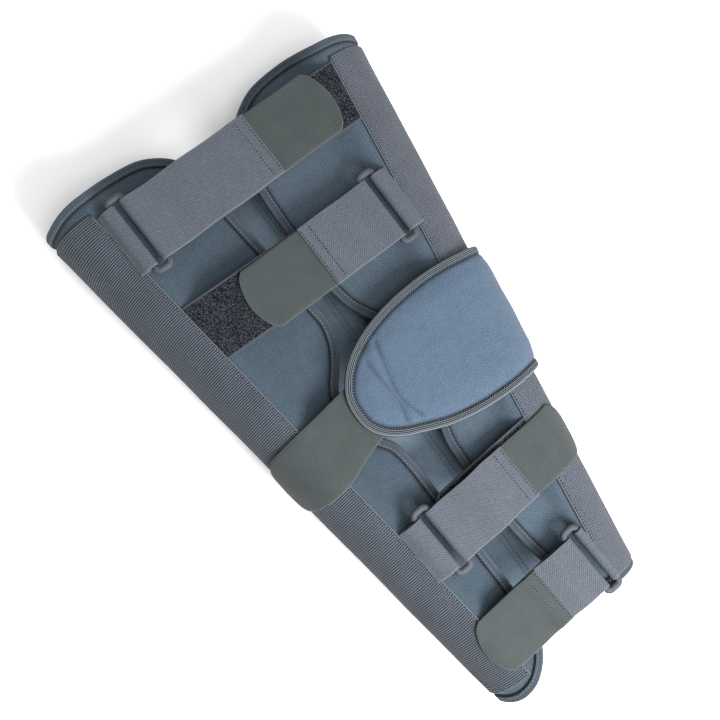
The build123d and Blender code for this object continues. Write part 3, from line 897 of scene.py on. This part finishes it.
def side_panel(nm, side, y_in, y_out):
    n_rib = int(round((y_in[1] - y_in[0]) / RIB_PITCH))
    rows = n_rib * 4 + 1
    cols = 30
    t = np.linspace(0, 1, rows)[:, None]
    c = np.linspace(0, 1, cols)[None, :]
    arc_end = np.radians(166.0)
    span = y_in[1] - y_in[0]
    lean = np.minimum(0.4 + 0.6 * step01(t * span / 40), step01((1 - t) * span / 40))
    y = y_in[0] + span * t
    y = y - 0.135 * lean * c * depth(y) / 2 * arc_end      # the ribs stand square to the panel's front edge
    s = side * (half_flat(y) + c * depth(y) / 2 * arc_end)
    phase = t * n_rib
    rim = np.minimum(np.minimum(t, 1 - t) * (y_in[1] - y_in[0]), np.minimum(c, 1 - c) * 90)
    edge = step01(rim / 1.2)
    wob = 0.25 * ripple(s, y, 9, 45.0) * step01(rim / 12.0)
    r = 0.25 + (1.5 + wob + (0.20 if side < 0 else 0.13) * np.cos(2 * np.pi * phase)) * (0.35 + 0.65 * edge)
    top = surf(s, y, r)
    bot = surf(s, y, 0.05)
    top[..., 2] = np.maximum(top[..., 2], 0.10)
    n = rows * cols
    faces = []
    idx = np.arange(n).reshape(rows, cols)
    q = np.stack([idx[:-1, :-1], idx[:-1, 1:], idx[1:, 1:], idx[1:, :-1]], -1).reshape(-1, 4)
    faces += q.tolist()
    faces += (q[:, ::-1] + n).tolist()
    ring = list(idx[0, :]) + list(idx[1:, -1]) + list(idx[-1, -2::-1]) + list(idx[-2:0:-1, 0])
    for i in range(len(ring)):
        a, b = int(ring[i]), int(ring[(i + 1) % len(ring)])
        faces.append((b, a, a + n, b + n))
    uv = np.stack([np.abs(s), np.broadcast_to(phase, s.shape)], -1).reshape(-1, 2)
    verts = np.vstack([top.reshape(-1, 3), bot.reshape(-1, 3)])
    ob = fix_normals(make(f"{nm}_ribbed_panel", verts, faces, np.vstack([uv, uv]), np.r_[rim.ravel(), rim.ravel()],
                          [RIBBED_PAINTED_SHADE if side < 0 else RIBBED]))
    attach(ob, "root")
    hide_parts(f"{nm}_side_panel")
    # folded selvage along the front edge, stitched down
    ys = np.arange(y_in[0] + 1, y_in[1] - 1, 2.2)
    line = np.stack([side * (half_flat(ys) + 0.2), ys], -1)
    rings, uvs = [], []
    for k in range(8):
        a = 2 * math.pi * k / 8
        rings.append(surf(line[:, 0] + 0.65 * math.cos(a), line[:, 1], 1.5 + 0.6 * math.sin(a)))
        uvs.append(np.stack([ys, np.full(len(ys), k * 0.6)], -1))
    cordp = tube_section(f"{nm}_panel_selvage", np.stack(rings, 1), np.stack(uvs, 1), [SELVAGE])
    rows_ = stitch_run("sv", np.stack([side * (half_flat(ys) + 1.5), ys], -1), surf, 2.0, 2.4, 1.6, 0.36, [THREAD])
    ob = join(f"{nm}_panel_edge", [cordp, rows_])
    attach(ob, "root")


side_panel("left", -1, (9.0, 441.0), (4.0, 443.5))
side_panel("right", 1, (24.0, 441.0), (20.0, 444.0))

# ------------------------------------------------------------------ straps
STRAPS = {
    "upper_thigh": (+1, (-81.3, 411.0), 2.0, 50.0, 106.5, 166.0),
    "lower_thigh": (-1, (70.3, 330.0), 1.5, 48.0, 62.0, 120.0),
    "upper_calf": (+1, (-37.4, 121.3), 3.6, 44.0, 73.0, 130.5),
    "lower_calf": (-1, (39.8, 46.4), 4.3, 44.0, 36.0, 98.0),
}
BASES = {
    "upper_thigh": [(-71, 436.6), (-71, 387.4), (half_flat(391), 391), (half_flat(437.5), 437.5)],
    "lower_thigh": [(60, 353), (60, 305.8), (-half_flat(306.6), 306.6), (-half_flat(353.4), 353.4)],
    "upper_calf": [(-27, 147.0), (-27, 101.4), (half_flat(107.5), 108.5), (half_flat(151.5), 153.5)],
    "lower_calf": [(29.6, 67.4), (29.6, 23.6), (-half_flat(17.6), 17.6), (-half_flat(61.4), 61.4)],
}
LOOP_R = 2.75          # middle of the webbing where it goes round a bar
T_WEB = 1.5


BILLOW = {"upper_thigh": 3.0, "lower_thigh": 2.0, "upper_calf": 6.0, "lower_calf": 2.0}


def strap(name, toward, slot, tilt, width, seam, tip):
    billow = BILLOW[name]
    a = math.radians(tilt)
    u_, v_ = np.array([1.0, 0, 0]), np.array([0, math.cos(TILT), math.sin(TILT)])
    out = np.array([0, -math.sin(TILT), math.cos(TILT)])
    along = (u_ * math.cos(a) + v_ * math.sin(a)) * toward
    across = v_ * math.cos(a) - u_ * math.sin(a)
    centre = np.array([slot[0], slot[1] - Y_MID, float(depth(slot[1]))]) + out * LIFT
    half = width / 2

    def rigid(u, v, r):
        u, v, r = np.broadcast_arrays(np.asarray(u, float), np.asarray(v, float), np.asarray(r, float))
        return centre + u[..., None] * along + v[..., None] * across + (r - LIFT)[..., None] * out

    def plan(u, v, r):
        s = slot[0] + toward * u * math.cos(a) - v * math.sin(a)
        y = slot[1] + toward * u * math.sin(a) + v * math.cos(a)
        return surf(s, y, r)

    def band(label, pts, half_, mats, lift=None, thick=T_WEB, rigid_until=22.0, step=1.6, u0=0.0, top_mat=None, nv=14):
        """webbing along a side view line of (u, r) points"""
        p = resample(pts, step)
        p[:, 1] += billow * np.sin(np.pi * np.clip((p[:, 0] - 9.0) / (seam - 9.0), 0, 1)) ** 2 * (0 if rigid_until > 900 else 1)
        k = step01((p[:, 0] - rigid_until) / 10.0)[:, None]

        def at(v):
            return rigid(p[:, 0], v, p[:, 1]) * (1 - k) + plan(p[:, 0], v, p[:, 1]) * k
        c = at(0.0)
        ac = at(0.5) - at(-0.5)
        if rigid_until < 900:
            sway = 0.55 * ripple(p[:, 0], p[:, 0] * 0, 8 + len(name), 55.0) * step01((p[:, 0] - 8.0) / 25.0) * step01((seam - p[:, 0]) / 25.0)
            c = c + sway[:, None] * across
        ac /= np.linalg.norm(ac, axis=1)[:, None]
        t = np.gradient(c, axis=0)
        n = np.cross(ac, t)
        n /= np.linalg.norm(n, axis=1)[:, None]
        return ribbon(label, c, ac, n, half_, thick, mats, lift=lift, u0=u0, top_mat=top_mat, nv=nv)

    def arc(cu, a0, a1, rad=LOOP_R, n=12):
        ang = np.radians(np.linspace(a0, a1, n))
        return [(cu + rad * math.cos(x), LIFT + rad * math.sin(x)) for x in ang]

    hi_in, hi_out = PITCH / 2, -PITCH / 2
    # anchor loop: from under the side panel's edge over the outer bar and back
    reach = abs(abs(slot[0]) - float(half_flat(slot[1])))
    start = -max(reach + 1.0, PITCH / 2 + 3.2)
    pts = [(start, 1.6), (start + 1.5, 2.4)] if reach > 12 else [(start, 3.0)]
    pts = pts + [((start + hi_out) / 2 - 0.6, LIFT + LOOP_R - 1.3)] + arc(hi_out, 100, -90) + [((start + hi_out) / 2, 1.0), (start, 0.4)]
    ac = band(f"{name}_anchor_webbing", catmull(pts, 0.8), half - 0.4, [WEB], rigid_until=999, step=0.9)
    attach(ac, "root")
    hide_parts(f"{name}_anchor")

    # ring: one smooth moulded loop, slim where the webbing goes round it
    ru, rv, cr = PITCH / 2, half + 3.9, 3.0
    path = []
    for qx, qy, a0 in ((ru, rv, 0), (-ru, rv, 90), (-ru, -rv, 180), (ru, -rv, 270)):
        cx, cy = qx - math.copysign(cr, qx), qy - math.copysign(cr, qy)
        for k in range(9):
            ang = math.radians(a0 + 90 * k / 8)
            path.append((cx + cr * math.cos(ang), cy + cr * math.sin(ang)))
    path = np.array(path)
    path = resample(np.vstack([path, path[:1]]), 1.0)[:-1]
    tt = np.roll(path, -1, 0) - np.roll(path, 1, 0)
    tt /= np.linalg.norm(tt, axis=1)[:, None]
    nn = np.stack([tt[:, 1], -tt[:, 0]], -1)
    fat = step01((np.abs(path[:, 1]) - (half - 0.6)) / 1.6)
    rings, uvs = [], []
    for k in range(14):
        ang = 2 * math.pi * k / 14
        ra = 1.45 + 1.1 * fat
        rb = 1.45 + 0.4 * fat
        rings.append(rigid(path[:, 0] + nn[:, 0] * ra * math.cos(ang), path[:, 1] + nn[:, 1] * ra * math.cos(ang),
                           LIFT + rb * math.sin(ang)))
        uvs.append(np.stack([np.arange(len(path)), np.full(len(path), k)], -1))
    rg = tube_section(f"{name}_ring_moulding", np.stack(rings, 1), np.stack(uvs, 1), [PLASTIC], closed=True)
    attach(rg, f"{name}_ring")
    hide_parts(f"{name}_ring")

    # sewn length with the pile facing up; it goes under the ring's inner bar
    B = np.array([(float(x), float(y)) for x, y in BASES[name]])
    n = 60
    f = np.linspace(0, 1, n)
    hi_run, lo_run = B[0] + (B[3] - B[0]) * f[:, None], B[1] + (B[2] - B[1]) * f[:, None]
    mid = (hi_run + lo_run) / 2
    vec = hi_run - lo_run
    hw = np.linalg.norm(vec, axis=1) / 2
    c = surf(mid[:, 0], mid[:, 1], 1.0)
    ac_ = surf(hi_run[:, 0], hi_run[:, 1], 1.0) - surf(lo_run[:, 0], lo_run[:, 1], 1.0)
    ac_ /= np.linalg.norm(ac_, axis=1)[:, None]
    # head of the run, round the bar
    head = catmull([(hi_in + LOOP_R * math.cos(math.radians(x)), LIFT + (LOOP_R - 0.1) * math.sin(math.radians(x))) for x in (205, 225, 250, 275)]
                   + [(hi_in + 5.0, 1.5), (hi_in + 8.0, 1.1)], 0.8)
    hc = rigid(head[:, 0], 0.0, head[:, 1])
    keep = ((c - rigid(0, 0, LIFT)) @ along) > hi_in + 12.0
    c2, ac2, hw2 = c[keep], ac_[keep], hw[keep]
    cc = np.vstack([hc, c2])
    aa = np.vstack([np.tile(across, (len(hc), 1)), ac2])
    hh = np.r_[np.full(len(hc), half - 0.3), hw2]
    t = np.gradient(cc, axis=0)
    nn = np.cross(aa, t)
    nn /= np.linalg.norm(nn, axis=1)[:, None]
    if nn[-1, 2] < 0:
        nn = -nn
    def fuzz(u, v, top):
        return top * (0.22 * step01((hh[0] - np.abs(v) - 1.2) / 1.2) + 0.06 * ripple(v, np.full_like(v, u), 31, 5.0))
    hh = hh[:, None]
    hh = hh[:, 0]
    base = ribbon(f"{name}_base_pile", cc, aa, nn, hh, T_WEB, [WEB_BASE, PILE], top_mat=1, lift=fuzz, nv=18)
    g0, g1 = rigid(hi_in + 26.0, 0, 1.0) * 0.001, rigid(hi_in + 4.0, 0, 1.0) * 0.001
    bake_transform(base)
    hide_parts(f"{name}_base")

    # returning length: round the inner bar, down on to the base, to the seam
    on_top = name == "lower_calf"      # there the hook tab is sewn over the webbing, elsewhere under it
    r_run = 3.25
    pts = arc(hi_in, 208, 92, n=9) + [(hi_in + 4.5, LIFT + LOOP_R - 0.5), (hi_in + 10.0, 5.4), (hi_in + 17.0, 3.9), (hi_in + 23.0, r_run + 0.1)]
    if on_top:
        pts += [(seam + 9.0, r_run)]
    else:
        pts += [(seam - 24.0, r_run), (seam - 16.0, r_run + 0.5), (seam - 11.0, r_run + 1.35), (seam - 5, r_run + 1.5), (seam, r_run + 1.5)]
    web = band(f"{name}_webbing_run", catmull(pts, 1.2), half, [WEB], step=1.4)
    body = f"{name}_strap"
    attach(web, body)
    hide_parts(f"{name}_webbing")

    # hook tab
    first = seam if on_top else seam - 9.5
    bow = 11.0 if name == "upper_calf" else 7.5
    yv = np.linspace(half - 0.4, -(half - 0.4), 15)
    end = [(tip - bow * (v / half) ** 2 - 2.5 * max(0, (abs(v) / half - 0.86) / 0.14) ** 2, v) for v in yv]
    loop_ = np.vstack([resample([(first, -(half - 0.4)), (first, half - 0.4)], 2.2)[:-1],
                       resample([(first, half - 0.4), end[0]], 2.2)[:-1], resample(end, 1.8)[:-1],
                       resample([end[-1], (first, -(half - 0.4))], 2.2)[:-1]])

    def level(u, v):
        if on_top:
            base_r = 3.0 + 1.75 * (1 - step01((u - seam - 9.5) / 6.0))
        else:
            base_r = np.full_like(u, 3.05)
        curl = 1.1 * step01((u - (tip - 22)) / 22.0) ** 2 * (0.5 + 0.8 * (np.abs(v) / half) ** 2)
        return base_r + curl + 0.12 * ripple(u, v, 77, 24.0)

    def tab_top(u, v, d):
        return plan(u, v, level(u, v) + 0.72 * np.sqrt(np.clip(1 - (1 - np.clip(d / 0.7, 0, 1)) ** 2, 0.06, 1)))

    def tab_bot(u, v, d):
        return plan(u, v, level(u, v) - 0.72 * np.sqrt(np.clip(1 - (1 - np.clip(d / 0.7, 0, 1)) ** 2, 0.06, 1)))
    tab = closed_sheet(f"{name}_hook_tab", loop_, 2.2, tab_top, tab_bot, (0.25, 0.7), [HOOK])
    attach(tab, body)
    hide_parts(f"{name}_tab")

    # two seam rows through both layers
    rr = []
    for k, uu in enumerate((seam + 1.6, seam + 8.2) if on_top else (seam - 1.6, seam - 8.2)):
        line = resample([(uu, -(half - 1.5)), (uu, half - 1.5)], 1.5)
        rise = billow * math.sin(math.pi * min(1.0, (uu - 9.0) / (seam - 9.0))) ** 2
        h = (level(np.array([uu]), np.array([0.0]))[0] + 0.68) if on_top else r_run + (1.5 if uu > seam - 6 else 1.43) + 0.76 + rise
        # dark beads between the grey stitches, as painted shade of the needle holes
        rr.append(stitch_run(f"r{k}", line, lambda x, y, r: plan(x, y, r), h, 2.4, 1.15, 0.56, [PAINTED_SHADE_THREAD], sink=0.5))
        rr.append(stitch_run(f"s{k}", resample([(uu, -(half - 2.7)), (uu, half - 2.7)], 1.5), lambda x, y, r: plan(x, y, r), h, 2.4, 1.5, 0.30, [WEB_THREAD]))
    st_ = join(f"{name}_seam", rr)
    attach(st_, body)


WEB_THREAD = thread_mat("thread_grey", srgb(112, 118, 128))
for name, v in STRAPS.items():
    strap(name, *v)

# ------------------------------------------------------------------ knee pad
PAD_EDGE = [(90, 273.6), (77, 275.6), (49, 276.2), (18, 272), (0.7, 266.8), (-14.7, 259), (-27, 248),
            (-33.5, 237), (-35.3, 225), (-33.8, 213), (-28, 203.5), (-18, 195.2), (-2.5, 188),
            (14.6, 181.2), (38, 176), (62, 174.2), (84, 174.6)]
edge = [(to_s(x, y), y) for x, y in PAD_EDGE]


def pad_rear(y):
    return float(half_flat(y)) + float(depth(y)) / 2 * math.radians(140)


top_end, bot_end = (pad_rear(271.0), 270.5), (pad_rear(173.5), 173.8)
e = catmull([top_end] + edge + [bot_end], 2.0)
back = resample([tuple(e[-1]), tuple(e[0])], 3.0)
pad_loop = np.vstack([e, back[1:-1]])
pad_sign = 1.0 if area2(pad_loop) > 0 else -1.0
crease = [catmull([(5.3, 258.1), (0.6, 240.0), (-2.6, 224.7), (-2.2, 212.0), (2.2, 198.5)], 2.0),
          catmull([(-8.2, 249.0), (-7.6, 236.0), (-5.9, 220.5), (-6.8, 210.0), (-9.2, 201.5)], 2.0)]
spine = [np.array([np.interp(k, np.linspace(0, 1, len(c)), c[:, i]) for c in crease for i in (0, 1)]) for k in np.linspace(0, 1, 16)]
spine = np.array([((x1 + x2) / 2, (y1 + y2) / 2) for x1, y1, x2, y2 in spine])


def pad_r(s, y, d):
    """height of the pad's face over the wrap"""
    crown = 5.9 + 2.6 * step01(d / 20.0) + 0.35 * ripple(s, y, 12, 38.0) * step01(d / 12.0)
    crown = crown - 1.2 * np.exp(-((d - 5.3) / 1.2) ** 2) - 0.9 * np.exp(-(d / 3.9) ** 6)
    q = np.stack([np.asarray(s, float), np.asarray(y, float)], -1)
    for k, line in enumerate(crease):
        dd = edge_distance(line, q, closed=False)
        crown = crown - (1.35 - 0.3 * k) * np.exp(-(dd / 1.6) ** 2)
    mid = edge_distance(spine, q, closed=False)
    return crown + 0.95 * np.exp(-(mid / 4.4) ** 4)


def pad_top(a, b, d):
    return surf(a, b, 2.2 + pad_r(a, b, d) - 1.2)


def pad_painted_shade(a, b, d):
    """painted shade: darker along the two creases and the seam groove 5.3 mm in from the edge"""
    q = np.stack([a, b], -1)
    k = np.zeros(len(a))
    for j, line in enumerate(crease):
        dd = edge_distance(line, q, closed=False)
        k = np.maximum(k, (0.4 - 0.12 * j) * np.exp(-(dd / 1.5) ** 2))
    return np.maximum(k, 1.15 * np.exp(-((d - 5.3) / 1.1) ** 2))


pad_extra = []
for j, line in enumerate(crease):
    along = np.gradient(line, axis=0)
    along /= np.linalg.norm(along, axis=1)[:, None]
    across = np.stack([along[:, 1], -along[:, 0]], 1)
    for off in (-1.7, -0.8, 0.0, 0.8, 1.7):
        pad_extra.append(resample(line + across * off, 1.7))


def pad_bot(a, b, d):
    return surf(a, b, 2.45 + 0.2 * step01(d / 4.0))


pad = closed_sheet("knee_pad_felt", pad_loop, 2.4, pad_top, pad_bot, (2.0, 3.6, 4.6, 5.3, 6.1, 7.6), [FELT_PAD], extra=pad_extra, painted_shade=pad_painted_shade)
hinge = next(j for j in frame["joints"] if j["name"] == "knee_pad_fold")
hp, hd = np.array(hinge["pos_m"]), np.array(hinge["axis"])
cut = np.cross(hd, [0, 0, 1.0])
cut /= np.linalg.norm(cut)
if cut[0] > 0:
    cut = -cut
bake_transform(pad)
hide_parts("knee_pad", "knee_pad_root")


def pad_map(s, y, r):
    return surf(s, y, r)


pt = binding("knee_pad_tape", e, pad_map, pad_sign, [TAPE_PAD], low=2.9, high=6.7, width=4.5, proud=0.8, ridge=0.26)
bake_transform(pt)
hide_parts("knee_pad_binding", "knee_pad_root_binding")
# pale slanted stitches, and dark slanted beads as painted shade in the seam groove
ps = join("knee_pad_stitching", [
    stitch_run("p1", offset_run(e, pad_sign, 4.6), pad_map, 6.9, 2.1, 2.0, 0.28, [THREAD], slant=0.9, sink=0.1),
    stitch_run("p2", offset_run(e, pad_sign, 5.7), pad_map, 6.2, 2.1, 1.7, 0.38, [PAINTED_SHADE_THREAD], slant=-0.5, sink=0.2)])
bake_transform(ps)

# hook tab of the pad, sewn under its point and laid over the left side panel
PAD_TAB = [(-20, 246.0), (-60, 240), (-88, 236.0), (-104, 232), (-112.5, 224), (-115.5, 211), (-113, 198.5),
           (-103, 189.5), (-90, 186.6), (-64, 189), (-44, 196.8), (-18, 204)]
tab_e = catmull([(x, y) for x, y in PAD_TAB], 2.0)
loop = np.vstack([tab_e, resample([tuple(tab_e[-1]), tuple(tab_e[0])], 2.5)[1:-1]])


def pad_tab_r(s, y):
    w, R = half_flat(y), depth(y) / 2
    th = np.clip((np.abs(s) - w) / R, 0, 2)
    return 3.2 + 0.5 * th + 0.2 * ripple(s, y, 55, 30.0) - 0.4 * step01((s + 34) / 8.0)


def half_t(d):
    return 0.75 * np.sqrt(np.clip(1 - (1 - np.clip(d / 0.7, 0, 1)) ** 2, 0.06, 1))


ptab = closed_sheet("knee_pad_hook_tab", loop, 2.4, lambda a, b, d: surf(a, b, pad_tab_r(a, b) + half_t(d)),
                    lambda a, b, d: surf(a, b, pad_tab_r(a, b) - half_t(d)), (0.25, 0.7), [HOOK],
                    to_uv=lambda a, b: np.stack([a * 0.99 + b * 0.1, b], -1))
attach(ptab, "knee_pad")
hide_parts("knee_pad_tab")

# ------------------------------------------------------------------ floor, light, camera
me = bpy.data.meshes.new("floor")
me.from_pydata([(-6, -6, -0.0006), (6, -6, -0.0006), (6, 6, -0.0006), (-6, 6, -0.0006)], [], [(0, 1, 2, 3)])
floor = bpy.data.objects.new("floor", me)
bpy.context.scene.collection.objects.link(floor)
fm = bpy.data.materials.new("floor_white")
fm.use_nodes = True
fb = fm.node_tree.nodes["Principled BSDF"]
fb.inputs["Base Color"].default_value = (0.95, 0.95, 0.95, 1)
fb.inputs["Roughness"].default_value = 0.9
fb.inputs["Specular IOR Level"].default_value = 0.1
me.materials.append(fm)

world = bpy.data.worlds.new("studio")
bpy.context.scene.world = world
world.use_nodes = True
wt = world.node_tree
wt.nodes["Background"].inputs[0].default_value = (1.0, 1.0, 1.0, 1)
wdir = wt.nodes.new("ShaderNodeTexCoord")
wdot = wt.nodes.new("ShaderNodeVectorMath")
wdot.operation = "DOT_PRODUCT"
wdot.inputs[1].default_value = (0.64, -0.62, 0.45)
wt.links.new(wdir.outputs["Generated"], wdot.inputs[0])
wr = wt.nodes.new("ShaderNodeMapRange")
wr.inputs["From Min"].default_value = -1.0
wr.inputs["From Max"].default_value = 1.0
wr.inputs["To Min"].default_value = -0.45
wr.inputs["To Max"].default_value = 1.45
wt.links.new(wdot.outputs["Value"], wr.inputs["Value"])
wm = wt.nodes.new("ShaderNodeMath")
wm.operation = "MAXIMUM"
wm.inputs[1].default_value = 0.1
wt.links.new(wr.outputs["Result"], wm.inputs[0])
wt.links.new(wm.outputs[0], wt.nodes["Background"].inputs[1])


def area(name, loc, target, size, power, color=(1, 1, 1)):
    d = bpy.data.lights.new(name, "AREA")
    d.shape = "RECTANGLE"
    d.size, d.size_y = size
    d.energy = power
    d.color = color
    o = bpy.data.objects.new(name, d)
    o.location = loc
    o.rotation_mode = "QUATERNION"
    o.rotation_quaternion = (Vector(target) - Vector(loc)).to_track_quat("-Z", "Y")
    bpy.context.scene.collection.objects.link(o)
    return o


area("key", (0.07, -0.60, 0.67), (0, 0, 0.04), (0.40, 0.40), 13.8)
area("top", (-0.05, -0.25, 1.3), (-0.05, -0.05, 0.04), (0.5, 0.5), 6.0)

cam = bpy.data.cameras.new("camera")
cam.lens = 45.0
cam.sensor_width = 36.0
cam.clip_start = 0.01
camera = bpy.data.objects.new("camera", cam)
rv = Vector((0.06494448, -0.14600471, -0.63037987))
camera.rotation_mode = "QUATERNION"
camera.rotation_quaternion = Matrix.Rotation(rv.length, 3, rv.normalized()).to_quaternion()
camera.location = (-0.10643, 0.01745, 0.67773)
bpy.context.scene.collection.objects.link(camera)
bpy.context.scene.camera = camera
bpy.context.scene.view_settings.view_transform = "Standard"
bpy.context.scene.view_settings.look = "None"
